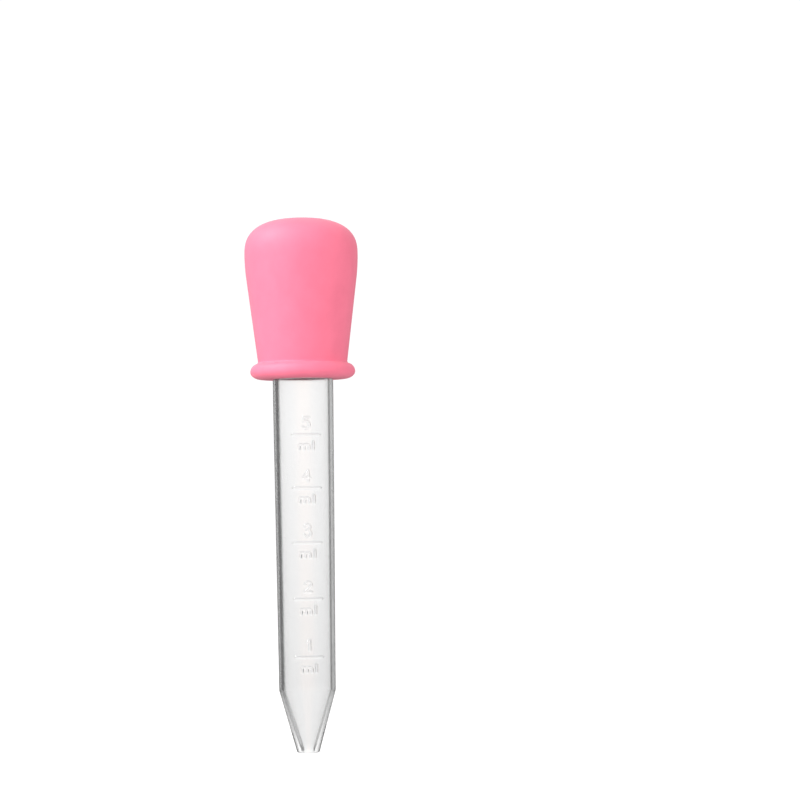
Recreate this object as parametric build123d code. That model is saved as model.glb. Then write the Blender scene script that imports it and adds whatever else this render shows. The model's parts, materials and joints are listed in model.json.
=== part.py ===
from build123d import *
import math
import os

# A medicine dropper: a clear graduated tube with a soft silicone bulb pushed over its upper end.
# Millimetres. +Z runs up the axis of the tube, the origin is the middle of the outlet in the tip,
# and the raised scale faces -Y.

# Whole dropper
TOTAL_HEIGHT = 115.0
RIM_BOTTOM_Z = 80.2

# Clear tube, outside
TIP_RADIUS = 2.38
TIP_ROUNDING = 0.3
CONE_HEIGHT = 13.3
BARREL_LOW_RADIUS = 6.08
NECK_RADIUS = 6.52
NECK_LENGTH = 4.4
CORNER_ROUNDING = 0.8

# Clear tube, inside
OUTLET_RADIUS = 1.15
OUTLET_LENGTH = 1.0
BORE_LOW_Z = 13.4
BORE_LOW_RADIUS = 5.0
BORE_TOP_RADIUS = 5.46

# The end of the tube that the bulb is pushed over, with the small shoulder below it
SPIGOT_LENGTH = 10.8
SPIGOT_STEP = 0.3
SPIGOT_ROUNDING = 0.3
SHOULDER_ROUNDING = 0.05
FIT_CLEARANCE = 0.05

# Bulb, outside
BULB_RADIUS = 12.25
CROWN_HEIGHT = 7.8
CROWN_POWER = 2.6
CROWN_CURVE_STEPS = 8
BULB_NECK_RADIUS = 9.7
BULB_NECK_Z = 84.4
FLARE_ANGLE = 7.2
RIM_RADIUS = 11.33
RIM_LOWER_CURVE_WIDTH = 2.4
RIM_LOWER_CURVE_HEIGHT = 1.6
RIM_UPPER_ROUNDING = 1.8
NECK_FILLET = 0.5

# Bulb, inside
BULB_WALL = 1.6
CROWN_WALL = 2.0
SOCKET_LEAD_IN = 0.3
STOP_RADIUS = 5.55
STOP_THICKNESS = 1.2
CHAMBER_FLOOR_RISE = 2.8

# The two areas of the bulb that fingers press in
PINCH_Z = 102.3
PINCH_HALF_HEIGHT = 6.0
PINCH_HALF_WIDTH = 5.6
PINCH_GAP = 0.3
PINCH_PRISM_START = 6.1

# Raised scale
SCALE_MILLILITRES = (1, 2, 3, 4, 5)
CUBIC_MM_PER_MILLILITRE = 1000
RELIEF = 0.25
LINE_LENGTH = 6.2
LINE_WIDTH = 0.42
STROKE_WIDTH = 0.42
DIGIT_WIDTH = 1.9
DIGIT_HEIGHT = 2.6
DIGIT_GAP = 1.1
UNIT_HEIGHT = 2.0
UNIT_GAP = 1.1
LETTER_M_WIDTH = 2.5
LETTER_M_HEIGHT = 1.45
LETTER_SPACE = 0.55

TUBE_TOP_Z = RIM_BOTTOM_Z + SPIGOT_LENGTH
NECK_LOW_Z = RIM_BOTTOM_Z - NECK_LENGTH
SPIGOT_RADIUS = NECK_RADIUS - SPIGOT_STEP
SOCKET_RADIUS = SPIGOT_RADIUS + FIT_CLEARANCE
EQUATOR_Z = TOTAL_HEIGHT - CROWN_HEIGHT
RIM_MIDDLE_Z = RIM_BOTTOM_Z + RIM_LOWER_CURVE_HEIGHT
RIM_TOP_Z = RIM_MIDDLE_Z + RIM_UPPER_ROUNDING


def on_profile(radius, height):
    """A point of a profile that is turned about the Z axis."""
    return (radius, 0, height)


def turned(*edges):
    """The solid swept by a closed profile turned about the Z axis."""
    return revolve(make_face(edges), Axis.Z)


def edges_at(solid, radius, height, tolerance=0.05):
    """The circular edges of a turned solid with this radius at this height."""
    found = []
    for edge in solid.edges().filter_by(GeomType.CIRCLE):
        same_height = abs(edge.center().Z - height) < tolerance
        if same_height and abs(edge.radius - radius) < tolerance:
            found.append(edge)
    return found


def barrel_radius(height):
    """Outside radius of the tapered barrel at a height."""
    share = (height - CONE_HEIGHT) / (NECK_LOW_Z - CONE_HEIGHT)
    return BARREL_LOW_RADIUS + share * (NECK_RADIUS - BARREL_LOW_RADIUS)


def clear_tube():
    """Tip, cone, tapered barrel, straight neck and spigot, with the bore through all of them."""
    outside = turned(
        Polyline(
            on_profile(0, 0),
            on_profile(TIP_RADIUS, 0),
            on_profile(BARREL_LOW_RADIUS, CONE_HEIGHT),
            on_profile(NECK_RADIUS, NECK_LOW_Z),
            on_profile(NECK_RADIUS, RIM_BOTTOM_Z),
            on_profile(SPIGOT_RADIUS, RIM_BOTTOM_Z),
            on_profile(SPIGOT_RADIUS, TUBE_TOP_Z),
            on_profile(0, TUBE_TOP_Z),
            close=True,
        )
    )
    bore = turned(
        Polyline(
            on_profile(0, 0),
            on_profile(OUTLET_RADIUS, 0),
            on_profile(OUTLET_RADIUS, OUTLET_LENGTH),
            on_profile(BORE_LOW_RADIUS, BORE_LOW_Z),
            on_profile(BORE_TOP_RADIUS, TUBE_TOP_Z),
            on_profile(0, TUBE_TOP_Z),
            close=True,
        )
    )
    outside = fillet(edges_at(outside, TIP_RADIUS, 0), TIP_ROUNDING)
    outside = fillet(edges_at(outside, BARREL_LOW_RADIUS, CONE_HEIGHT), CORNER_ROUNDING)
    outside = fillet(edges_at(outside, NECK_RADIUS, RIM_BOTTOM_Z), SHOULDER_ROUNDING)
    outside = fillet(edges_at(outside, SPIGOT_RADIUS, TUBE_TOP_Z), SPIGOT_ROUNDING)
    return outside - bore


def crown_curve(radius, height):
    """Quarter of a superellipse from the top of the crown down to its widest level."""
    points = []
    for step in range(CROWN_CURVE_STEPS + 1):
        turn = math.pi / 2 * step / CROWN_CURVE_STEPS
        out = radius * math.sin(turn) ** (2 / CROWN_POWER)
        up = height * max(math.cos(turn), 0) ** (2 / CROWN_POWER)
        points.append(on_profile(out, EQUATOR_Z + up))
    points[-1] = on_profile(radius, EQUATOR_Z)
    return Spline(*points, tangents=[(1, 0, 0), (0, 0, -1)])


def flank(radius, low_radius, low_z):
    """The bulb's side: an arc from the widest level that runs into a straight taper."""
    slope = math.radians(FLARE_ANGLE)
    line_at_equator = low_radius + (EQUATOR_Z - low_z) * math.tan(slope)
    arc_radius = (line_at_equator - radius) * math.cos(slope) / (1 - math.cos(slope))
    arc_end = on_profile(
        radius - arc_radius * (1 - math.cos(slope)),
        EQUATOR_Z - arc_radius * math.sin(slope),
    )
    arc = TangentArc(on_profile(radius, EQUATOR_Z), arc_end, tangent=(0, 0, -1))
    return [arc, Line(arc_end, on_profile(low_radius, low_z))]


def taper_radius(height):
    """Outside radius of the bulb's straight taper at a height."""
    return BULB_NECK_RADIUS + (height - BULB_NECK_Z) * math.tan(math.radians(FLARE_ANGLE))


def rim():
    """The rounded bead round the bulb's mouth, flat underneath near the tube."""
    flat_radius = RIM_RADIUS - RIM_LOWER_CURVE_WIDTH
    lower = on_profile(flat_radius, RIM_BOTTOM_Z)
    widest = on_profile(RIM_RADIUS, RIM_MIDDLE_Z)
    lower_curve = Plane.XZ * EllipticalCenterArc(
        (flat_radius, RIM_MIDDLE_Z),
        RIM_LOWER_CURVE_WIDTH,
        RIM_LOWER_CURVE_HEIGHT,
        start_angle=270,
        arc_size=90,
    )
    upper = on_profile(RIM_RADIUS - RIM_UPPER_ROUNDING, RIM_TOP_Z)
    return turned(
        Line(on_profile(0, RIM_BOTTOM_Z), lower),
        lower_curve,
        TangentArc(widest, upper, tangent=(0, 0, 1)),
        Line(upper, on_profile(0, RIM_TOP_Z)),
        Line(on_profile(0, RIM_TOP_Z), on_profile(0, RIM_BOTTOM_Z)),
    )


def bell():
    """The bulb's body above the rim, solid."""
    low_radius = taper_radius(RIM_MIDDLE_Z)
    return turned(
        crown_curve(BULB_RADIUS, CROWN_HEIGHT),
        *flank(BULB_RADIUS, low_radius, RIM_MIDDLE_Z),
        Line(on_profile(low_radius, RIM_MIDDLE_Z), on_profile(0, RIM_MIDDLE_Z)),
        Line(on_profile(0, RIM_MIDDLE_Z), on_profile(0, TOTAL_HEIGHT)),
    )


def chamber():
    """The air space in the bulb, the stop's opening and the socket that grips the tube."""
    floor_z = TUBE_TOP_Z + STOP_THICKNESS
    low_z = floor_z + CHAMBER_FLOOR_RISE
    low_radius = taper_radius(low_z) - BULB_WALL
    air = turned(
        crown_curve(BULB_RADIUS - BULB_WALL, CROWN_HEIGHT - CROWN_WALL),
        *flank(BULB_RADIUS - BULB_WALL, low_radius, low_z),
        Line(on_profile(low_radius, low_z), on_profile(STOP_RADIUS, floor_z)),
        Line(on_profile(STOP_RADIUS, floor_z), on_profile(0, floor_z)),
        Line(on_profile(0, floor_z), on_profile(0, TOTAL_HEIGHT - CROWN_WALL)),
    )
    socket = turned(
        Polyline(
            on_profile(0, RIM_BOTTOM_Z),
            on_profile(SOCKET_RADIUS + SOCKET_LEAD_IN, RIM_BOTTOM_Z),
            on_profile(SOCKET_RADIUS, RIM_BOTTOM_Z + SOCKET_LEAD_IN),
            on_profile(SOCKET_RADIUS, TUBE_TOP_Z),
            on_profile(STOP_RADIUS, TUBE_TOP_Z),
            on_profile(STOP_RADIUS, floor_z),
            on_profile(0, floor_z),
            close=True,
        )
    )
    return air + socket


def whole_bulb():
    """The one-piece silicone bulb, before its two flexing areas are cut free."""
    outside = bell() + rim()
    junction = min(
        outside.edges().filter_by(GeomType.CIRCLE),
        key=lambda edge: math.hypot(edge.radius - BULB_NECK_RADIUS, edge.center().Z - RIM_TOP_Z),
    )
    return fillet(junction, NECK_FILLET) - chamber()


def pinch_prism(side, grow=0.0):
    """An oval prism along X through one side of the bulb's wall; side is -1 or +1."""
    outline = Ellipse(PINCH_HALF_WIDTH + grow, PINCH_HALF_HEIGHT + grow)
    facing = Plane(origin=(0, 0, PINCH_Z), x_dir=(0, 1, 0), z_dir=(1, 0, 0))
    return extrude(facing.offset(side * PINCH_PRISM_START) * outline, side * BULB_RADIUS)


def stroke(*path):
    """A raised stroke with round ends and corners along straight and curved centre lines."""
    shape = Sketch()
    for edge in path:
        shape += trace(edge, STROKE_WIDTH)
        for end in (edge @ 0, edge @ 1):
            shape += Pos(end.X, end.Y) * Circle(STROKE_WIDTH / 2)
    return shape


def polyline_edges(points):
    """The straight edges that join a list of points."""
    return [Line(start, end) for start, end in zip(points, points[1:])]


def digit(value):
    """A numeral from 1 to 5, its left foot at the origin."""
    inset = STROKE_WIDTH / 2

    def at(across, up):
        x = inset + across * (DIGIT_WIDTH - STROKE_WIDTH)
        y = inset + up * (DIGIT_HEIGHT - STROKE_WIDTH)
        return (x, y)

    if value == 1:
        return stroke(*polyline_edges([at(0.2, 0.76), at(0.6, 1), at(0.6, 0)]))
    if value == 2:
        hook = ThreePointArc(at(0.02, 0.74), at(0.52, 1), at(0.96, 0.66))
        return stroke(hook, *polyline_edges([at(0.96, 0.66), at(0, 0), at(1, 0)]))
    if value == 3:
        upper = ThreePointArc(at(0.06, 0.86), at(0.88, 0.8), at(0.4, 0.54))
        lower = ThreePointArc(at(0.4, 0.54), at(0.98, 0.28), at(0, 0.15))
        return stroke(upper, lower)
    if value == 4:
        return stroke(*polyline_edges([at(0.72, 0), at(0.72, 1), at(0, 0.3), at(1, 0.3)]))
    bowl = ThreePointArc(at(0.1, 0.54), at(0.98, 0.34), at(0, 0.1))
    return stroke(*polyline_edges([at(0.92, 1), at(0.16, 1), at(0.1, 0.54)]), bowl)


def unit_letters():
    """The letters of the unit, millilitres, their left foot at the origin."""
    inset = STROKE_WIDTH / 2
    top = LETTER_M_HEIGHT - inset
    span = (LETTER_M_WIDTH - STROKE_WIDTH) / 2
    shape = stroke(Line((inset, inset), (inset, top)))
    for arch in range(2):
        left = inset + arch * span
        right = left + span
        spring = top - span / 2
        hump = ThreePointArc((left, spring), ((left + right) / 2, top), (right, spring))
        shape += stroke(hump, Line((right, spring), (right, inset)))
    stem = LETTER_M_WIDTH + LETTER_SPACE + inset
    return shape + stroke(Line((stem, inset), (stem, UNIT_HEIGHT - inset)))


def scale_height(volume):
    """Height of the liquid's surface with this many cubic millimetres in the tube."""
    outlet = math.pi * OUTLET_RADIUS**2 * OUTLET_LENGTH
    cone_squares = OUTLET_RADIUS**2 + OUTLET_RADIUS * BORE_LOW_RADIUS + BORE_LOW_RADIUS**2
    cone = math.pi / 3 * (BORE_LOW_Z - OUTLET_LENGTH) * cone_squares
    slope = (BORE_TOP_RADIUS - BORE_LOW_RADIUS) / (TUBE_TOP_Z - BORE_LOW_Z)
    cubed = BORE_LOW_RADIUS**3 + 3 * slope * (volume - outlet - cone) / math.pi
    return BORE_LOW_Z + (cubed ** (1 / 3) - BORE_LOW_RADIUS) / slope


def mark(value, height):
    """One graduation, drawn flat: the numeral, the line below it and the unit below the line."""
    line = SlotOverall(LINE_LENGTH, LINE_WIDTH)
    digit_low = LINE_WIDTH / 2 + DIGIT_GAP
    unit_low = -LINE_WIDTH / 2 - UNIT_GAP - UNIT_HEIGHT
    unit_width = LETTER_M_WIDTH + LETTER_SPACE + STROKE_WIDTH
    shape = line + Pos(-DIGIT_WIDTH / 2, digit_low) * digit(value)
    shape += Pos(-unit_width / 2, unit_low) * unit_letters()
    return Pos(0, height) * shape


def relief_layer():
    """The thin layer over the barrel that the raised scale is cut from."""
    low_z = CONE_HEIGHT + CORNER_ROUNDING
    high_z = NECK_LOW_Z
    return turned(
        Polyline(
            on_profile(barrel_radius(low_z), low_z),
            on_profile(barrel_radius(low_z) + RELIEF, low_z),
            on_profile(barrel_radius(high_z) + RELIEF, high_z),
            on_profile(barrel_radius(high_z), high_z),
            close=True,
        )
    )


def raised_scale():
    """All the graduations, standing proud of the barrel on its -Y side."""
    layer = relief_layer()
    in_front = 2 * NECK_RADIUS
    front = Plane(origin=(0, -in_front, 0), x_dir=(1, 0, 0), z_dir=(0, -1, 0))
    solids = []
    for value in SCALE_MILLILITRES:
        height = scale_height(value * CUBIC_MM_PER_MILLILITRE)
        print(f"{value} ml line at z = {height:.2f} mm")
        for face in (front * mark(value, height)).faces():
            solids += (extrude(face, -in_front) & layer).solids()
    return Compound(children=solids)


os.makedirs("parts", exist_ok=True)

bulb = whole_bulb()
nodes = {
    "clear_tube": clear_tube(),
    "raised_scale": raised_scale(),
    "silicone_bulb": bulb - pinch_prism(-1, PINCH_GAP) - pinch_prism(1, PINCH_GAP),
    "pinch_wall_left": bulb & pinch_prism(-1),
    "pinch_wall_right": bulb & pinch_prism(1),
}
for name, shape in nodes.items():
    export_step(shape, f"parts/{name}.step")
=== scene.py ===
import json
import math

import bpy
import numpy as np
from mathutils import Matrix, Vector


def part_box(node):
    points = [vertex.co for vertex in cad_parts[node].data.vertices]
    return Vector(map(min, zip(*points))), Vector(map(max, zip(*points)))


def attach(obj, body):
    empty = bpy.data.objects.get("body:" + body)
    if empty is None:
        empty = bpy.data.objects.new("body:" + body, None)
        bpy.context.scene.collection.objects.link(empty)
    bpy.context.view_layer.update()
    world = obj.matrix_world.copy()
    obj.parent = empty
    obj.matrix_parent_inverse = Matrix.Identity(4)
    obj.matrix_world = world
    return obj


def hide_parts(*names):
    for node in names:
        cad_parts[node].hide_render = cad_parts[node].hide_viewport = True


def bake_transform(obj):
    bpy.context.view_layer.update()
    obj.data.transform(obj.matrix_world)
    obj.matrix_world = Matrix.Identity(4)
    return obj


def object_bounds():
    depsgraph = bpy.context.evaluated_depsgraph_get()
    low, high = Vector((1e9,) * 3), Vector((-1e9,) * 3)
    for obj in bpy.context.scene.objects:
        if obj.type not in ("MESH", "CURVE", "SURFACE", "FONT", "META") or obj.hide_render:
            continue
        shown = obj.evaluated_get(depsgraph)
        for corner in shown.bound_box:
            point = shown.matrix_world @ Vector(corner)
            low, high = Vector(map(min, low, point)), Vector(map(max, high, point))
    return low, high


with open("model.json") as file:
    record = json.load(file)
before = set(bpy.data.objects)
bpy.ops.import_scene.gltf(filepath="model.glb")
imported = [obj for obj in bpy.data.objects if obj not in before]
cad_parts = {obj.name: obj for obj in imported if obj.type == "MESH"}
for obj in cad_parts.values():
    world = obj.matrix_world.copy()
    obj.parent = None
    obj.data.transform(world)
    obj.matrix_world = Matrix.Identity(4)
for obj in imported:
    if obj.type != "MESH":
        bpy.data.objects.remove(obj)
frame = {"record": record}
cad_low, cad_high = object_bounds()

# The dropper's sizes in metres. Heights are above the outlet in the tip, which is the origin,
# and the raised scale faces -Y.
MM = 0.001
MOUNTS = {mount["name"]: mount for mount in frame["record"]["mounts"]}

TOTAL_HEIGHT = cad_high.z
RIM_BOTTOM_Z = MOUNTS["rim_underside"]["pos_m"][2]
TUBE_TOP_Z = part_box("clear_tube")[1].z

# Clear tube
TIP_RADIUS = 2.38 * MM
TIP_ROUNDING = 0.3 * MM
CONE_HEIGHT = 13.3 * MM
BARREL_LOW_RADIUS = 6.08 * MM
CORNER_ROUNDING = 0.8 * MM
NECK_RADIUS = MOUNTS["tube_neck"]["dims"]["r_mm"] * MM
NECK_LOW_Z = MOUNTS["tube_neck"]["pos_m"][2] - MOUNTS["tube_neck"]["dims"]["length_mm"] / 2 * MM
SHOULDER_ROUNDING = 0.05 * MM
SHOULDER_STEP = 0.3 * MM
SPIGOT_RADIUS = NECK_RADIUS - SHOULDER_STEP
SPIGOT_ROUNDING = 0.3 * MM
OUTLET_RADIUS = MOUNTS["tip_outlet"]["dims"]["r_mm"] * MM
OUTLET_LENGTH = 1.0 * MM
BORE_LOW_Z = 13.4 * MM
BORE_LOW_RADIUS = 5.0 * MM
BORE_TOP_RADIUS = 5.46 * MM
BORE_ROUNDING = 0.4 * MM
# A ring this far before a rounding keeps the long straight wall's shading straight.
GUARD = 0.04 * MM

# Raised scale
SCALE_MILLILITRES = (1, 2, 3, 4, 5)
MILLILITRE = 1e-6
RELIEF = 0.25 * MM
LINE_LENGTH = 6.2 * MM
STROKE_WIDTH = 0.42 * MM
DIGIT_WIDTH = 1.9 * MM
DIGIT_HEIGHT = 2.6 * MM
DIGIT_GAP = 1.1 * MM
UNIT_HEIGHT = 2.0 * MM
UNIT_GAP = 1.1 * MM
LETTER_M_WIDTH = 2.5 * MM
LETTER_M_HEIGHT = 1.45 * MM
LETTER_SPACE = 0.55 * MM
STROKE_FLAT = 0.09 * MM
STROKE_FOOT = 0.37 * MM
RELIEF_CELL = 0.095 * MM

# Bulb
BULB_RADIUS = 12.25 * MM
CROWN_HEIGHT = 7.8 * MM
CROWN_POWER = 2.6
EQUATOR_Z = TOTAL_HEIGHT - CROWN_HEIGHT
BULB_NECK_RADIUS = 9.7 * MM
BULB_NECK_Z = 84.4 * MM
FLARE_ANGLE = math.radians(7.2)
RIM_RADIUS = 11.33 * MM
RIM_LOWER_CURVE_WIDTH = 2.4 * MM
RIM_LOWER_CURVE_HEIGHT = 1.6 * MM
RIM_UPPER_ROUNDING = 1.8 * MM
NECK_FILLET = 0.5 * MM
BULB_WALL = 1.6 * MM
CROWN_WALL = 2.0 * MM
FIT_CLEARANCE = 0.05 * MM
SOCKET_RADIUS = SPIGOT_RADIUS + FIT_CLEARANCE
SOCKET_LEAD_IN = 0.3 * MM
STOP_RADIUS = 5.55 * MM
STOP_THICKNESS = 1.2 * MM
CHAMBER_FLOOR_RISE = 2.8 * MM

# How finely each stretch is divided
TIP_STEPS = 6
CONE_STEPS = 12
CORNER_STEPS = 8
EDGE_STEPS = 5
BORE_STEPS = 12
BORE_CONE_STEPS = 10
OUTLET_STEPS = 2
MOUTH_STEPS = 6
RIM_STEPS = 14
FILLET_STEPS = 10
FLANK_STEPS = 26
CROWN_STEPS = 34
CHAMBER_FLANK_STEPS = 10
CHAMBER_CROWN_STEPS = 20
SOCKET_STEPS = 6
BULB_HALF_COLUMNS = 96
TUBE_BACK_COLUMNS = 104
WIDE_ROW = 12 * RELIEF_CELL


# ---------------------------------------------------------------- outlines, as (radius, height) points

def straight(start, end, steps):
    """Points from start towards end, the end left out."""
    share = np.arange(steps)[:, None] / steps
    return list(map(tuple, np.array(start) + share * (np.array(end) - np.array(start))))


def arc(centre, start, end, steps):
    """Points of the shorter arc about centre from start to end, both included."""
    centre, start, end = map(np.array, (centre, start, end))
    first = math.atan2(*(start - centre)[::-1])
    turn = math.atan2(*(end - centre)[::-1]) - first
    turn = (turn + math.pi) % (2 * math.pi) - math.pi
    radius = np.linalg.norm(start - centre)
    angles = first + turn * np.arange(steps + 1) / steps
    return [tuple(centre + radius * np.array((math.cos(a), math.sin(a)))) for a in angles]


def rounded(before, corner, after, radius, steps):
    """Points of the arc that rounds the corner between two straight runs."""
    before, corner, after = map(np.array, (before, corner, after))
    towards_before = (before - corner) / np.linalg.norm(before - corner)
    towards_after = (after - corner) / np.linalg.norm(after - corner)
    half = math.acos(float(towards_before @ towards_after)) / 2
    reach = radius / math.tan(half)
    middle = towards_before + towards_after
    centre = corner + middle / np.linalg.norm(middle) * radius / math.sin(half)
    return arc(centre, corner + reach * towards_before, corner + reach * towards_after, steps)


def crown(radius, height, steps):
    """Points up a superellipse from the bulb's widest level to the axis."""
    turns = math.pi / 2 * (1 - np.arange(steps + 1) / steps)
    out = radius * np.sin(turns) ** (2 / CROWN_POWER)
    up = height * np.clip(np.cos(turns), 0, 1) ** (2 / CROWN_POWER)
    out[-1] = 0
    return list(zip(out, EQUATOR_Z + up))


def taper_radius(height):
    """Outside radius of the bulb's straight taper at a height."""
    return BULB_NECK_RADIUS + (height - BULB_NECK_Z) * math.tan(FLARE_ANGLE)


def flank(radius, low, steps):
    """Points up the bulb's side: a straight taper from low, then an arc to the widest level."""
    at_equator = low[0] + (EQUATOR_Z - low[1]) * math.tan(FLARE_ANGLE)
    bend = (at_equator - radius) * math.cos(FLARE_ANGLE) / (1 - math.cos(FLARE_ANGLE))
    centre = (radius - bend, EQUATOR_Z)
    bend_start = (centre[0] + bend * math.cos(FLARE_ANGLE), EQUATOR_Z - bend * math.sin(FLARE_ANGLE))
    return straight(low, bend_start, steps) + arc(centre, bend_start, (radius, EQUATOR_Z), steps)


def rim_outline():
    """Points round the rim's bead from its flat underside to the start of the bulb's taper."""
    bead = np.array((RIM_RADIUS - RIM_UPPER_ROUNDING, RIM_BOTTOM_Z + RIM_LOWER_CURVE_HEIGHT))
    along = np.array((math.sin(FLARE_ANGLE), math.cos(FLARE_ANGLE)))
    out = np.array((along[1], -along[0]))
    offset = np.array((BULB_NECK_RADIUS, BULB_NECK_Z)) + NECK_FILLET * out - bead
    reach = RIM_UPPER_ROUNDING + NECK_FILLET
    step = -(offset @ along) + math.sqrt((offset @ along) ** 2 - offset @ offset + reach**2)
    fillet = bead + offset + step * along
    touch = bead + (fillet - bead) * RIM_UPPER_ROUNDING / reach
    flat_radius = RIM_RADIUS - RIM_LOWER_CURVE_WIDTH
    points = []
    for turn in math.pi / 2 * np.arange(RIM_STEPS + 1) / RIM_STEPS:
        radius = flat_radius + RIM_LOWER_CURVE_WIDTH * math.sin(turn)
        points.append((radius, bead[1] - RIM_LOWER_CURVE_HEIGHT * math.cos(turn)))
    points += arc(bead, (RIM_RADIUS, bead[1]), touch, RIM_STEPS)[1:]
    return points + arc(fillet, touch, fillet - NECK_FILLET * out, FILLET_STEPS)[1:]


def bulb_outline():
    """The bulb's wall: up the outside to the axis, then down the chamber and the socket."""
    floor_z = TUBE_TOP_Z + STOP_THICKNESS
    low_z = floor_z + CHAMBER_FLOOR_RISE
    chamber_low = (taper_radius(low_z) - BULB_WALL, low_z)
    outer_rim = rim_outline()
    mouth = (SOCKET_RADIUS + SOCKET_LEAD_IN, RIM_BOTTOM_Z)
    points = straight(mouth, outer_rim[0], MOUTH_STEPS) + outer_rim[:-1]
    points += flank(BULB_RADIUS, outer_rim[-1], FLANK_STEPS)[:-1]
    points += crown(BULB_RADIUS, CROWN_HEIGHT, CROWN_STEPS)
    inside = flank(BULB_RADIUS - BULB_WALL, chamber_low, CHAMBER_FLANK_STEPS)[:-1]
    inside += crown(BULB_RADIUS - BULB_WALL, CROWN_HEIGHT - CROWN_WALL, CHAMBER_CROWN_STEPS)
    points += inside[::-1]
    points += [(STOP_RADIUS, floor_z), (STOP_RADIUS, TUBE_TOP_Z)]
    socket_low = (SOCKET_RADIUS, RIM_BOTTOM_Z + SOCKET_LEAD_IN)
    points += straight((SOCKET_RADIUS, TUBE_TOP_Z), socket_low, SOCKET_STEPS)
    return points + [socket_low]


# ---------------------------------------------------------------- the raised scale

def arc_through(start, middle, end, steps=12):
    """Points of the circular arc from start through middle to end."""
    start, middle, end = (complex(*point) for point in (start, middle, end))
    ratio = (end - start) / (middle - start)
    bow = (ratio - abs(ratio) ** 2) / (2j * ratio.imag)
    centre = start + (middle - start) * bow
    first = start - centre
    turn = np.angle((end - centre) / first) % (2 * math.pi)
    if np.angle((middle - centre) / first) % (2 * math.pi) > turn:
        turn -= 2 * math.pi
    spots = [centre + first * np.exp(1j * turn * s / steps) for s in range(steps + 1)]
    return [(spot.real, spot.imag) for spot in spots]


def digit_strokes(value, low):
    """Centre lines of a numeral that stands on the height low, centred on x = 0."""

    def at(across, up):
        wide, high = DIGIT_WIDTH - STROKE_WIDTH, DIGIT_HEIGHT - STROKE_WIDTH
        return ((across - 0.5) * wide, low + STROKE_WIDTH / 2 + up * high)

    if value == 1:
        strokes = [[at(0.2, 0.76), at(0.6, 1), at(0.6, 0)]]
    elif value == 2:
        strokes = [arc_through(at(0.02, 0.74), at(0.52, 1), at(0.96, 0.66)) + [at(0, 0), at(1, 0)]]
    elif value == 3:
        upper = arc_through(at(0.06, 0.86), at(0.88, 0.8), at(0.4, 0.54))
        strokes = [upper, arc_through(at(0.4, 0.54), at(0.98, 0.28), at(0, 0.15))]
    elif value == 4:
        strokes = [[at(0.72, 0), at(0.72, 1), at(0, 0.3), at(1, 0.3)]]
    else:
        bowl = arc_through(at(0.1, 0.54), at(0.98, 0.34), at(0, 0.1))
        strokes = [[at(0.92, 1), at(0.16, 1)] + bowl]
    return [np.array(stroke) for stroke in strokes]


def unit_strokes(low):
    """Centre lines of the unit's letters, which stand on the height low, centred on x = 0."""
    left = -(LETTER_M_WIDTH + LETTER_SPACE + STROKE_WIDTH) / 2 + STROKE_WIDTH / 2
    foot = low + STROKE_WIDTH / 2
    top = low + LETTER_M_HEIGHT - STROKE_WIDTH / 2
    span = (LETTER_M_WIDTH - STROKE_WIDTH) / 2
    strokes = [[(left, foot), (left, top)]]
    for arch in range(2):
        near, far = left + arch * span, left + (arch + 1) * span
        spring = top - span / 2
        hump = arc_through((near, spring), ((near + far) / 2, top), (far, spring))
        strokes.append(hump + [(far, foot)])
    stem = left + LETTER_M_WIDTH + LETTER_SPACE
    strokes.append([(stem, foot), (stem, low + UNIT_HEIGHT - STROKE_WIDTH / 2)])
    return [np.array(stroke) for stroke in strokes]


def mark_strokes(value, height):
    """Centre lines of one graduation: its numeral, its line and its unit."""
    half_line = (LINE_LENGTH - STROKE_WIDTH) / 2
    strokes = [np.array([(-half_line, height), (half_line, height)])]
    strokes += digit_strokes(value, height + STROKE_WIDTH / 2 + DIGIT_GAP)
    return strokes + unit_strokes(height - STROKE_WIDTH / 2 - UNIT_GAP - UNIT_HEIGHT)


def scale_height(volume):
    """Height of the liquid's surface with this volume in the tube, in cubic metres."""
    outlet = math.pi * OUTLET_RADIUS**2 * OUTLET_LENGTH
    squares = OUTLET_RADIUS**2 + OUTLET_RADIUS * BORE_LOW_RADIUS + BORE_LOW_RADIUS**2
    cone = math.pi / 3 * (BORE_LOW_Z - OUTLET_LENGTH) * squares
    slope = (BORE_TOP_RADIUS - BORE_LOW_RADIUS) / (TUBE_TOP_Z - BORE_LOW_Z)
    cubed = BORE_LOW_RADIUS**3 + 3 * slope * (volume - outlet - cone) / math.pi
    return BORE_LOW_Z + (cubed ** (1 / 3) - BORE_LOW_RADIUS) / slope


MARKS = {value: scale_height(value * MILLILITRE) for value in SCALE_MILLILITRES}
MARK_ABOVE = STROKE_WIDTH / 2 + DIGIT_GAP + DIGIT_HEIGHT + STROKE_FOOT
MARK_BELOW = STROKE_WIDTH / 2 + UNIT_GAP + UNIT_HEIGHT + STROKE_FOOT


def distance_to(stroke, points):
    """Distance of each point from a stroke's centre line."""
    nearest = np.full(len(points), np.inf)
    for start, end in zip(stroke, stroke[1:]):
        run = end - start
        share = np.clip((points - start) @ run / (run @ run), 0, 1)
        gap = points - start - share[:, None] * run
        nearest = np.minimum(nearest, np.hypot(gap[:, 0], gap[:, 1]))
    return nearest


def relief_at(points):
    """How far the raised scale stands out at (x, height) points: flat on top, soft at its foot."""
    raised = np.zeros(len(points))
    for value, height in MARKS.items():
        near = np.flatnonzero(
            (points[:, 1] > height - MARK_BELOW)
            & (points[:, 1] < height + MARK_ABOVE)
            & (abs(points[:, 0]) < LINE_LENGTH / 2 + STROKE_FOOT)
        )
        if not len(near):
            continue
        gap = np.min([distance_to(s, points[near]) for s in mark_strokes(value, height)], axis=0)
        fall = np.clip((gap - STROKE_FLAT) / (STROKE_FOOT - STROKE_FLAT), 0, 1)
        raised[near] = RELIEF * (1 - fall * fall * (3 - 2 * fall))
    return raised


# ---------------------------------------------------------------- meshes

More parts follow.
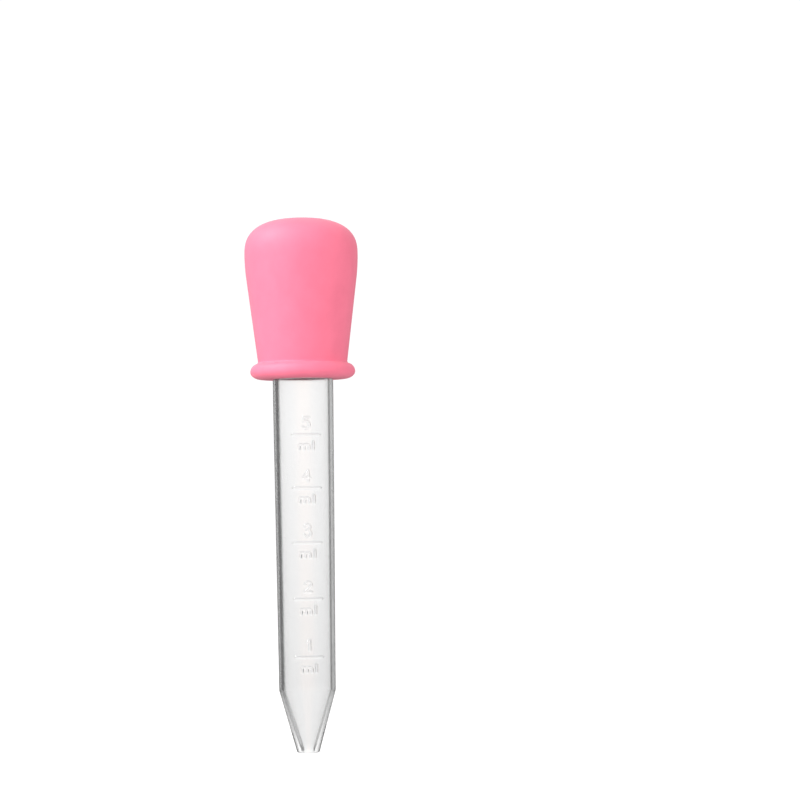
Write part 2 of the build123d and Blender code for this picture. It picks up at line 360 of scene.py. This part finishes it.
# A point nearer to the axis than this is on it.
ON_AXIS = 1e-9
# The least length that a normal is divided by
NOT_ZERO = 1e-12


def grid_mesh(name, points, closed):
    """A mesh from rings of points, and the (ring, is a run's start, column) of each face corner. The
    last ring joins the first, and a ring on the axis is one vertex. closed joins the last column to
    the first; otherwise both open sides are capped."""
    rings, columns = points.shape[:2]
    on_axis = np.hypot(points[:, 0, 0], points[:, 0, 1]) < ON_AXIS
    number = np.zeros((rings, columns), int)
    vertices = []
    for ring in range(rings):
        own = points[ring, :1] if on_axis[ring] else points[ring]
        number[ring] = len(vertices) + (0 if on_axis[ring] else np.arange(columns))
        vertices.extend(own)
    faces, corners = [], []
    for ring in range(rings):
        after = (ring + 1) % rings
        if on_axis[ring] and on_axis[after]:
            continue
        for column in range(columns if closed else columns - 1):
            beside = (column + 1) % columns
            quad = [(ring, column), (ring, beside), (after, beside), (after, column)]
            if on_axis[ring]:
                quad.pop(1)
            if on_axis[after]:
                quad.pop(2)
            faces.append([number[spot] for spot in quad])
            corners.extend((ring, spot[0] == ring, spot[1]) for spot in quad)
    if not closed:
        faces.append([number[ring, 0] for ring in range(rings)])
        faces.append([number[ring, -1] for ring in reversed(range(rings))])
    mesh = bpy.data.meshes.new(name)
    mesh.from_pydata(vertices, [], faces)
    mesh.shade_smooth()
    return mesh, corners


def turned_points(outline, angles):
    """Rings of points of an outline turned about the Z axis, one ring for each outline point."""
    outline = np.array(outline)
    rings = np.zeros((len(outline), len(angles), 3))
    rings[:, :, 0] = outline[:, :1] * np.cos(angles)
    rings[:, :, 1] = outline[:, :1] * np.sin(angles)
    rings[:, :, 2] = outline[:, 1:]
    return rings


def outline_normals(outline, sharp_angle):
    """For each run of an outline, the (radius, height) normals at its start and at its end."""
    outline = np.array(outline)
    runs = np.roll(outline, -1, axis=0) - outline
    own = np.stack((runs[:, 1], -runs[:, 0]), axis=1)
    own /= np.linalg.norm(own, axis=1)[:, None]
    before = np.roll(own, 1, axis=0)
    smooth = np.sum(own * before, axis=1) > math.cos(sharp_angle)
    shared = own + before
    shared /= np.maximum(np.linalg.norm(shared, axis=1), NOT_ZERO)[:, None]
    at_start = np.where(smooth[:, None], shared, own)
    at_end = np.where(np.roll(smooth, -1)[:, None], np.roll(shared, -1, axis=0), own)
    return at_start, at_end


def add_piece(name, mesh, *materials):
    """A new object from a mesh and its materials."""
    piece = bpy.data.objects.new(name, mesh)
    bpy.context.scene.collection.objects.link(piece)
    for material in materials:
        mesh.materials.append(material)
    return piece


# Corners gentler than this are shaded smooth.
SHARP_ANGLE = math.radians(28)


def bulb_half(name, side, material):
    """One half of the bulb's wall, for x below 0 (side -1) or above 0 (side +1)."""
    outline = bulb_outline()
    first = -math.pi / 2 if side > 0 else math.pi / 2
    angles = first + math.pi * np.arange(BULB_HALF_COLUMNS + 1) / BULB_HALF_COLUMNS
    mesh, corners = grid_mesh(name, turned_points(outline, angles), closed=False)
    at_start, at_end = outline_normals(outline, SHARP_ANGLE)
    normals = []
    for ring, is_start, column in corners:
        out, up = at_start[ring] if is_start else at_end[ring]
        normals.append((out * math.cos(angles[column]), out * math.sin(angles[column]), up))
    for cap in list(mesh.polygons)[-2:]:
        cap.use_smooth = False
        normals.extend([tuple(cap.normal)] * len(cap.vertices))
    mesh.normals_split_custom_set(normals)
    return add_piece(name, mesh, material)


def scale_rows(low, high):
    """Heights of the barrel's rings: close together on the raised scale, wide between."""
    rows = [low]
    while rows[-1] < high:
        here = rows[-1]
        on_mark = any(z - MARK_BELOW - RELIEF_CELL <= here <= z + MARK_ABOVE for z in MARKS.values())
        starts = [z - MARK_BELOW for z in MARKS.values() if z - MARK_BELOW > here + RELIEF_CELL]
        wide = min([here + WIDE_ROW, high, *starts])
        rows.append(here + RELIEF_CELL if on_mark else wide)
    rows[-1] = high
    return rows


def tube_outline():
    """The tube's wall: up the outside, over the top and down the bore. Also returns the first and
    last ring of the barrel, and the first ring of the bore."""
    tip = (TIP_RADIUS, 0)
    cone_top = (BARREL_LOW_RADIUS, CONE_HEIGHT)
    neck = (NECK_RADIUS, NECK_LOW_Z)
    bore_top = (BORE_TOP_RADIUS, TUBE_TOP_Z)
    bore_low = (BORE_LOW_RADIUS, BORE_LOW_Z)
    outlet = (OUTLET_RADIUS, OUTLET_LENGTH)
    points = [(OUTLET_RADIUS, 0)] + rounded((OUTLET_RADIUS, 0), tip, cone_top, TIP_ROUNDING, TIP_STEPS)
    corner = rounded(tip, cone_top, neck, CORNER_ROUNDING, CORNER_STEPS)
    points += straight(points[-1], corner[0], CONE_STEPS)[1:] + corner[:-1]
    barrel_start = len(points)
    start, slope = corner[-1], (NECK_RADIUS - corner[-1][0]) / (NECK_LOW_Z - corner[-1][1])
    points += [(start[0] + slope * (z - start[1]), z) for z in scale_rows(start[1], NECK_LOW_Z)]
    barrel_end = len(points)
    spigot_low, spigot_top = (SPIGOT_RADIUS, RIM_BOTTOM_Z), (SPIGOT_RADIUS, TUBE_TOP_Z)
    shoulder = rounded(neck, (NECK_RADIUS, RIM_BOTTOM_Z), spigot_low, SHOULDER_ROUNDING, EDGE_STEPS)
    points += [(NECK_RADIUS, shoulder[0][1] - GUARD)] + shoulder
    top = rounded(spigot_low, spigot_top, bore_top, SPIGOT_ROUNDING, EDGE_STEPS)
    points += [spigot_low, (SPIGOT_RADIUS, top[0][1] - GUARD)] + top
    bore_start = len(points)
    bend = rounded(bore_top, bore_low, outlet, BORE_ROUNDING, EDGE_STEPS)
    points += straight(bore_top, bend[0], BORE_STEPS) + bend[:-1]
    points += straight(bend[-1], outlet, BORE_CONE_STEPS)
    points += straight(outlet, (OUTLET_RADIUS, 0), OUTLET_STEPS)
    return points, barrel_start, barrel_end, bore_start


def column_angles():
    """Angles of the tube's columns: close together across the scale, wide round the back."""
    half = (LINE_LENGTH / 2 + STROKE_FOOT) / BARREL_LOW_RADIUS
    fine = np.linspace(-half, half, int(2 * half * NECK_RADIUS / RELIEF_CELL))
    coarse = np.linspace(half, 2 * math.pi - half, TUBE_BACK_COLUMNS)[1:-1]
    return np.concatenate((fine, coarse)) - math.pi / 2


def tube(name, outer_material, bore_material):
    """The tube with its raised scale, as one closed mesh."""
    outline, barrel_start, barrel_end, bore_start = tube_outline()
    angles = column_angles()
    points = turned_points(outline, angles)
    barrel = points[barrel_start:barrel_end].reshape(-1, 3)
    facing = np.flatnonzero(barrel[:, 1] < 0)
    raised = np.zeros(len(barrel))
    raised[facing] = relief_at(barrel[facing][:, [0, 2]])
    out = barrel[:, :2] / np.linalg.norm(barrel[:, :2], axis=1)[:, None]
    barrel[:, :2] += out * raised[:, None]
    points[barrel_start:barrel_end] = barrel.reshape(points[barrel_start:barrel_end].shape)
    mesh, _ = grid_mesh(name, points, closed=True)
    at_start, at_end = outline_normals(outline, SHARP_ANGLE)
    before = np.roll(at_end, 1, axis=0)
    sharp_rings = np.sum(at_start * before, axis=1) < math.cos(SHARP_ANGLE / 2)
    ring_of = np.repeat(np.arange(len(outline)), len(angles))
    ends = np.zeros(2 * len(mesh.edges), int)
    mesh.edges.foreach_get("vertices", ends)
    ends = ring_of[ends.reshape(-1, 2)]
    sharp = (ends[:, 0] == ends[:, 1]) & sharp_rings[ends[:, 0]]
    marks = mesh.attributes.new("sharp_edge", "BOOLEAN", "EDGE")
    marks.data.foreach_set("value", sharp)
    height = np.zeros(points.shape[:2])
    height[barrel_start:barrel_end] = raised.reshape(-1, len(angles)) / RELIEF
    mesh.attributes.new("raised", "FLOAT", "POINT").data.foreach_set("value", height.ravel())
    slots = np.zeros(len(mesh.polygons), int)
    slots[bore_start * len(angles):] = 1
    mesh.polygons.foreach_set("material_index", slots)
    return add_piece(name, mesh, outer_material, bore_material)


# ---------------------------------------------------------------- materials

# Clear plastic. Its painted shade at the edges and the bore's painted warm reflection go by how far the
# surface turns away, as (turn, shade) stops, the painted shade on the scale's flanks by the share of
# the full relief, and the bore's roughness by the clouds.
PLASTIC_IOR = 1.5
TURN_BLEND = 0.5
OUTSIDE_ROUGHNESS = 0.08
OUTSIDE_HAZE = 0.04
RELIEF_ROUGHNESS = 0.3
# Painted shade: the wall, and less the cone, greys where it is seen edge-on, in place of dark
# reflections.
WALL_EDGE_PAINTED_SHADE = ((0.40, 1.0), (0.48, 0.36), (0.75, 0.24))
CONE_EDGE_PAINTED_SHADE = ((0.38, 1.0), (0.55, 0.44))
CONE_FADE = 1.5 * MM
# Painted shade on the flanks of the raised scale.
FLANK_PAINTED_SHADE = ((0.0, 1.0), (0.35, 0.92), (0.7, 0.93), (1.0, 1.0))
BORE_ROUGHNESS = 0.13
BORE_HAZE = 0.0
BORE_CLOUDS = 300
CLOUD_SHARES = ((0.3, 0.8), (0.7, 1.2))
# Painted reflection: faintly warm where the bore faces the view; painted shade: grey where it turns
# away.
BORE_PAINTED_REFLECTION_AND_SHADE = ((0.0, (1.0, 0.97, 0.955)), (0.07, (0.93, 0.93, 0.93)), (0.35, 0.91))

# Silicone. Its colour goes by a soft mottle.
SILICONE_ROUGHNESS = 0.6
SILICONE_IOR = 1.45
SILICONE_SHEEN = 0.1
SHEEN_ROUGHNESS = 0.6
SILICONE_PINKS = ((0.3, (0.90, 0.172, 0.274)), (0.7, (0.945, 0.187, 0.294)))
MOTTLE_SCALE = 260
MOTTLE_DETAIL = 4
GRAIN_SCALE = 5200
GRAIN_STRENGTH = 0.12
GRAIN_DEPTH = 0.04 * MM


def new_material(name):
    """An empty node material, its node tree and its output node."""
    material = bpy.data.materials.new(name)
    material.use_nodes = True
    tree = material.node_tree
    tree.nodes.clear()
    return material, tree, tree.nodes.new("ShaderNodeOutputMaterial")


def ramp_of(tree, value, *stops):
    """A colour ramp driven by a value, with (position, grey or colour) stops."""
    ramp = tree.nodes.new("ShaderNodeValToRGB")
    elements = ramp.color_ramp.elements
    for index, (position, colour) in enumerate(stops):
        stop = elements[index] if index < 2 else elements.new(position)
        stop.position = position
        stop.color = (*colour, 1) if isinstance(colour, tuple) else (colour, colour, colour, 1)
    tree.links.new(value, ramp.inputs["Fac"])
    return ramp.outputs["Color"]


def clear_plastic(name, roughness, haze, outside):
    """Slightly hazy clear moulded plastic. Outside, a painted shade greys it where it is seen edge-on,
    less so on the cone, and on the flanks of the raised scale. In the bore, a painted reflection makes
    its middle faintly warm, and a painted shade greys the rest."""
    material, tree, output = new_material(name)
    shader = tree.nodes.new("ShaderNodeBsdfPrincipled")
    shader.inputs["Base Color"].default_value = (1, 1, 1, 1)
    shader.inputs["Roughness"].default_value = roughness
    shader.inputs["IOR"].default_value = PLASTIC_IOR
    shader.inputs["Transmission Weight"].default_value = 1.0 - haze
    where = tree.nodes.new("ShaderNodeTexCoord")
    facing = tree.nodes.new("ShaderNodeLayerWeight")
    facing.inputs["Blend"].default_value = TURN_BLEND
    if outside:
        # Painted shade where the wall is seen edge-on, lighter on the cone.
        edge = ramp_of(tree, facing.outputs["Facing"], *WALL_EDGE_PAINTED_SHADE)
        cone_painted_shade = ramp_of(tree, facing.outputs["Facing"], *CONE_EDGE_PAINTED_SHADE)
        place = tree.nodes.new("ShaderNodeSeparateXYZ")
        tree.links.new(where.outputs["Object"], place.inputs["Vector"])
        on_cone = tree.nodes.new("ShaderNodeMapRange")
        on_cone.inputs["From Min"].default_value = CONE_HEIGHT
        on_cone.inputs["From Max"].default_value = CONE_HEIGHT - CONE_FADE
        tree.links.new(place.outputs["Z"], on_cone.inputs["Value"])
        edges = tree.nodes.new("ShaderNodeMixRGB")
        tree.links.new(on_cone.outputs["Result"], edges.inputs["Fac"])
        tree.links.new(edge, edges.inputs["Color1"])
        tree.links.new(cone_painted_shade, edges.inputs["Color2"])
        raised = tree.nodes.new("ShaderNodeAttribute")
        raised.attribute_name = "raised"
        # Painted shade on the scale's flanks, multiplied with the painted edge shade.
        painted_flank_shade = ramp_of(tree, raised.outputs["Fac"], *FLANK_PAINTED_SHADE)
        both = tree.nodes.new("ShaderNodeMixRGB")
        both.blend_type = "MULTIPLY"
        both.inputs["Fac"].default_value = 1
        tree.links.new(edges.outputs["Color"], both.inputs["Color1"])
        tree.links.new(painted_flank_shade, both.inputs["Color2"])
        tree.links.new(both.outputs["Color"], shader.inputs["Base Color"])
        rough = ramp_of(tree, raised.outputs["Fac"], (0.0, roughness), (1.0, RELIEF_ROUGHNESS))
        tree.links.new(rough, shader.inputs["Roughness"])
    else:
        clouds = tree.nodes.new("ShaderNodeTexNoise")
        clouds.inputs["Scale"].default_value = BORE_CLOUDS
        tree.links.new(where.outputs["Object"], clouds.inputs["Vector"])
        # Painted warm reflection in the bore's middle and painted shade towards its sides.
        bore_painted_light = ramp_of(tree, facing.outputs["Facing"], *BORE_PAINTED_REFLECTION_AND_SHADE)
        tree.links.new(bore_painted_light, shader.inputs["Base Color"])
        stops = [(place, roughness * share) for place, share in CLOUD_SHARES]
        rough = ramp_of(tree, clouds.outputs["Fac"], *stops)
        tree.links.new(rough, shader.inputs["Roughness"])
    tree.links.new(shader.outputs["BSDF"], output.inputs["Surface"])
    return material


def silicone(name):
    """Soft matte silicone, slightly uneven in colour, with a fine grain."""
    material, tree, output = new_material(name)
    shader = tree.nodes.new("ShaderNodeBsdfPrincipled")
    shader.inputs["Roughness"].default_value = SILICONE_ROUGHNESS
    shader.inputs["IOR"].default_value = SILICONE_IOR
    shader.inputs["Sheen Weight"].default_value = SILICONE_SHEEN
    shader.inputs["Sheen Roughness"].default_value = SHEEN_ROUGHNESS
    where = tree.nodes.new("ShaderNodeTexCoord")
    mottle = tree.nodes.new("ShaderNodeTexNoise")
    mottle.inputs["Scale"].default_value = MOTTLE_SCALE
    mottle.inputs["Detail"].default_value = MOTTLE_DETAIL
    grain = tree.nodes.new("ShaderNodeTexNoise")
    grain.inputs["Scale"].default_value = GRAIN_SCALE
    bump = tree.nodes.new("ShaderNodeBump")
    bump.inputs["Strength"].default_value = GRAIN_STRENGTH
    bump.inputs["Distance"].default_value = GRAIN_DEPTH
    tree.links.new(where.outputs["Object"], mottle.inputs["Vector"])
    tree.links.new(where.outputs["Object"], grain.inputs["Vector"])
    colour = ramp_of(tree, mottle.outputs["Fac"], *SILICONE_PINKS)
    tree.links.new(colour, shader.inputs["Base Color"])
    tree.links.new(grain.outputs["Fac"], bump.inputs["Height"])
    tree.links.new(bump.outputs["Normal"], shader.inputs["Normal"])
    tree.links.new(shader.outputs["BSDF"], output.inputs["Surface"])
    return material


# ---------------------------------------------------------------- the dropper

outer_plastic = clear_plastic("clear_plastic", OUTSIDE_ROUGHNESS, OUTSIDE_HAZE, outside=True)
bore_plastic = clear_plastic("clear_plastic_bore", BORE_ROUGHNESS, BORE_HAZE, outside=False)
pink_silicone = silicone("pink_silicone")

dropper_tube = tube("graduated_tube", outer_plastic, bore_plastic)
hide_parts("clear_tube", "raised_scale")
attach(dropper_tube, "tube")

HALVES = ((-1, "bulb_wall_left", "pinch_left"), (1, "bulb_wall_right", "pinch_right"))
for side, half_name, body in HALVES:
    half = bulb_half(half_name, side, pink_silicone)
    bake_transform(half)
    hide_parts("silicone_bulb", "pinch_wall_left" if side < 0 else "pinch_wall_right")


# ---------------------------------------------------------------- camera, floor and light

CAMERA_LENS = 108
CAMERA_NEAR = 0.01
CAMERA_DISTANCE = 0.5185
CAMERA_HEIGHT = 0.058
CAMERA_AZIMUTH = math.radians(-4.5)
CAMERA_TURN_RIGHT = math.radians(2.31)
CAMERA_TURN_UP = math.radians(1.92)
CAMERA_ROLL = math.radians(-0.93)

# Lights and backdrop, placed in metres in the camera's own frame, with powers in watts
KEY_PLACE, KEY_SIZE, KEY_POWER = (-0.77, 0.5, -0.04), (1.1, 1.1), 15.5
FILL_PLACE, FILL_SIZE, FILL_POWER = (0.8, 0.1, 0.1), (0.8, 1.2), 3.5
CROWN_LIGHT_PLACE, CROWN_LIGHT_SIZE, CROWN_LIGHT_POWER = (-0.6, 0.67, -0.43), (0.35, 0.35), 6
BACKDROP_SIDE = 0.9
BACKDROP_PLACE = (0.05, 0, -1.2)
BACKDROP_GLOW = ((0.3, 0.97), (0.5, 1.18))
FLOOR_SIDE = 6
FLOOR_COLOUR = (0.3, 0.3, 0.3, 1)
FLOOR_GLOW = 0.85

# The world's shades, as (place, shade) stops. A height of 0 is straight down and 1 straight up,
# and the other two go along X and Y.
GLASS_BY_HEIGHT = ((0.32, 0.52), (0.44, 0.0), (0.54, 0.0), (0.66, 1.1))
GLASS_ACROSS = ((0.0, 0.2), (0.4, 0.3))
MATT_BY_HEIGHT = ((0.1, 0.95), (0.47, 0.69), (0.9, 0.72))
MATT_TOWARDS_BACK = ((0.0, 1.02), (0.35, 0.55))
WORLD_WHITE = 1.05


def make_camera():
    """The camera, near the height of the fourth line, turned so that the dropper stands to the left."""
    data = bpy.data.cameras.new("camera")
    data.lens = CAMERA_LENS
    data.clip_start = CAMERA_NEAR
    camera = bpy.data.objects.new("camera", data)
    bpy.context.scene.collection.objects.link(camera)
    bpy.context.scene.camera = camera
    away = Vector((math.sin(CAMERA_AZIMUTH), -math.cos(CAMERA_AZIMUTH), 0))
    look = Matrix.Rotation(-CAMERA_TURN_RIGHT, 3, "Z") @ -away
    level = look.to_track_quat("-Z", "Y").to_matrix()
    tilt = Matrix.Rotation(CAMERA_TURN_UP, 3, "X") @ Matrix.Rotation(CAMERA_ROLL, 3, "Z")
    place = Matrix.Translation(away * CAMERA_DISTANCE + Vector((0, 0, CAMERA_HEIGHT)))
    camera.matrix_world = place @ (level @ tilt).to_4x4()
    return camera


def backdrop_glow():
    """The light of the backdrop: even, and a little dimmer towards its foot."""
    material, tree, output = new_material("backdrop_glow")
    where = tree.nodes.new("ShaderNodeTexCoord")
    split = tree.nodes.new("ShaderNodeSeparateXYZ")
    tree.links.new(where.outputs["Generated"], split.inputs["Vector"])
    shader = tree.nodes.new("ShaderNodeEmission")
    tree.links.new(ramp_of(tree, split.outputs["Y"], *BACKDROP_GLOW), shader.inputs["Color"])
    tree.links.new(shader.outputs["Emission"], output.inputs["Surface"])
    return material


def stage_sheet(name, width, height, material):
    """A flat sheet in its own XY plane that belongs to the stage."""
    mesh = bpy.data.meshes.new(name)
    corners = [
        (-width / 2, -height / 2, 0),
        (width / 2, -height / 2, 0),
        (width / 2, height / 2, 0),
        (-width / 2, height / 2, 0),
    ]
    mesh.from_pydata(corners, [], [(0, 1, 2, 3)])
    sheet = add_piece(name, mesh, material)
    return sheet


def hide_from(thing, *rays):
    """The sheet or light isn't seen by these kinds of ray."""
    for ray in rays:
        setattr(thing, "visible_" + ray, False)


def area_light(name, camera, place, size, power):
    """A soft white rectangular light that goes with the camera, aimed at the dropper."""
    data = bpy.data.lights.new(name, "AREA")
    data.shape = "RECTANGLE"
    data.size, data.size_y = size
    data.energy = power
    light = bpy.data.objects.new(name, data)
    bpy.context.scene.collection.objects.link(light)
    light.parent = camera
    light.location = place
    aim = Vector((0, 0, -CAMERA_DISTANCE)) - Vector(place)
    light.rotation_euler = aim.to_track_quat("-Z", "Y").to_euler()
    return light


def make_world():
    """White for the camera. Soft on matt surfaces and weaker from behind. In glass and gloss, dim
    all round, brighter below and brightest overhead."""
    world = bpy.data.worlds.new("studio")
    world.use_nodes = True
    bpy.context.scene.world = world
    tree = world.node_tree
    tree.nodes.clear()
    path = tree.nodes.new("ShaderNodeLightPath")
    dim = tree.nodes.new("ShaderNodeBackground")
    soft = tree.nodes.new("ShaderNodeBackground")
    where = tree.nodes.new("ShaderNodeTexCoord")
    split = tree.nodes.new("ShaderNodeSeparateXYZ")
    tree.links.new(where.outputs["Generated"], split.inputs["Vector"])
    # The direction's Z, from -1 to 1, becomes a height from 0 to 1.
    height = tree.nodes.new("ShaderNodeMath")
    height.operation = "MULTIPLY_ADD"
    height.inputs[1].default_value = 0.5
    height.inputs[2].default_value = 0.5
    tree.links.new(split.outputs["Z"], height.inputs[0])
    level = ramp_of(tree, height.outputs["Value"], *GLASS_BY_HEIGHT)
    across = ramp_of(tree, split.outputs["X"], *GLASS_ACROSS)
    dark = tree.nodes.new("ShaderNodeMixRGB")
    dark.blend_type = "LIGHTEN"
    dark.inputs["Fac"].default_value = 1
    tree.links.new(across, dark.inputs["Color1"])
    tree.links.new(level, dark.inputs["Color2"])
    tree.links.new(dark.outputs["Color"], dim.inputs["Color"])
    light = ramp_of(tree, height.outputs["Value"], *MATT_BY_HEIGHT)
    behind = ramp_of(tree, split.outputs["Y"], *MATT_TOWARDS_BACK)
    weaker = tree.nodes.new("ShaderNodeMixRGB")
    weaker.blend_type = "MULTIPLY"
    weaker.inputs["Fac"].default_value = 1
    tree.links.new(light, weaker.inputs["Color1"])
    tree.links.new(behind, weaker.inputs["Color2"])
    tree.links.new(weaker.outputs["Color"], soft.inputs["Color"])
    white = tree.nodes.new("ShaderNodeBackground")
    white.inputs["Color"].default_value = (1, 1, 1, 1)
    white.inputs["Strength"].default_value = WORLD_WHITE
    matt = tree.nodes.new("ShaderNodeMixShader")
    seen = tree.nodes.new("ShaderNodeMixShader")
    output = tree.nodes.new("ShaderNodeOutputWorld")
    tree.links.new(path.outputs["Is Diffuse Ray"], matt.inputs["Fac"])
    tree.links.new(dim.outputs["Background"], matt.inputs[1])
    tree.links.new(soft.outputs["Background"], matt.inputs[2])
    tree.links.new(path.outputs["Is Camera Ray"], seen.inputs["Fac"])
    tree.links.new(matt.outputs["Shader"], seen.inputs[1])
    tree.links.new(white.outputs["Background"], seen.inputs[2])
    tree.links.new(seen.outputs["Shader"], output.inputs["Surface"])


def make_floor():
    """A pale floor, bright enough to look white except in the dropper's own soft shadow."""
    material, tree, output = new_material("pale_floor")
    matt = tree.nodes.new("ShaderNodeBsdfDiffuse")
    matt.inputs["Color"].default_value = FLOOR_COLOUR
    glow = tree.nodes.new("ShaderNodeEmission")
    glow.inputs["Strength"].default_value = FLOOR_GLOW
    both = tree.nodes.new("ShaderNodeAddShader")
    tree.links.new(matt.outputs["BSDF"], both.inputs[0])
    tree.links.new(glow.outputs["Emission"], both.inputs[1])
    tree.links.new(both.outputs["Shader"], output.inputs["Surface"])
    floor = stage_sheet("floor", FLOOR_SIDE, FLOOR_SIDE, material)
    hide_from(floor, "transmission", "glossy", "diffuse")


camera = make_camera()
make_world()
make_floor()

backdrop = stage_sheet("backdrop", BACKDROP_SIDE, BACKDROP_SIDE, backdrop_glow())
backdrop.parent = camera
backdrop.location = BACKDROP_PLACE
hide_from(backdrop, "camera", "diffuse", "shadow", "glossy")

key_light = area_light("key_light", camera, KEY_PLACE, KEY_SIZE, KEY_POWER)
fill_light = area_light("fill_light", camera, FILL_PLACE, FILL_SIZE, FILL_POWER)
crown_light = area_light("crown_light", camera, CROWN_LIGHT_PLACE, CROWN_LIGHT_SIZE, CROWN_LIGHT_POWER)
for light in (key_light, fill_light):
    hide_from(light, "transmission", "glossy")
hide_from(crown_light, "transmission", "diffuse")

bpy.context.scene.view_settings.view_transform = "Standard"
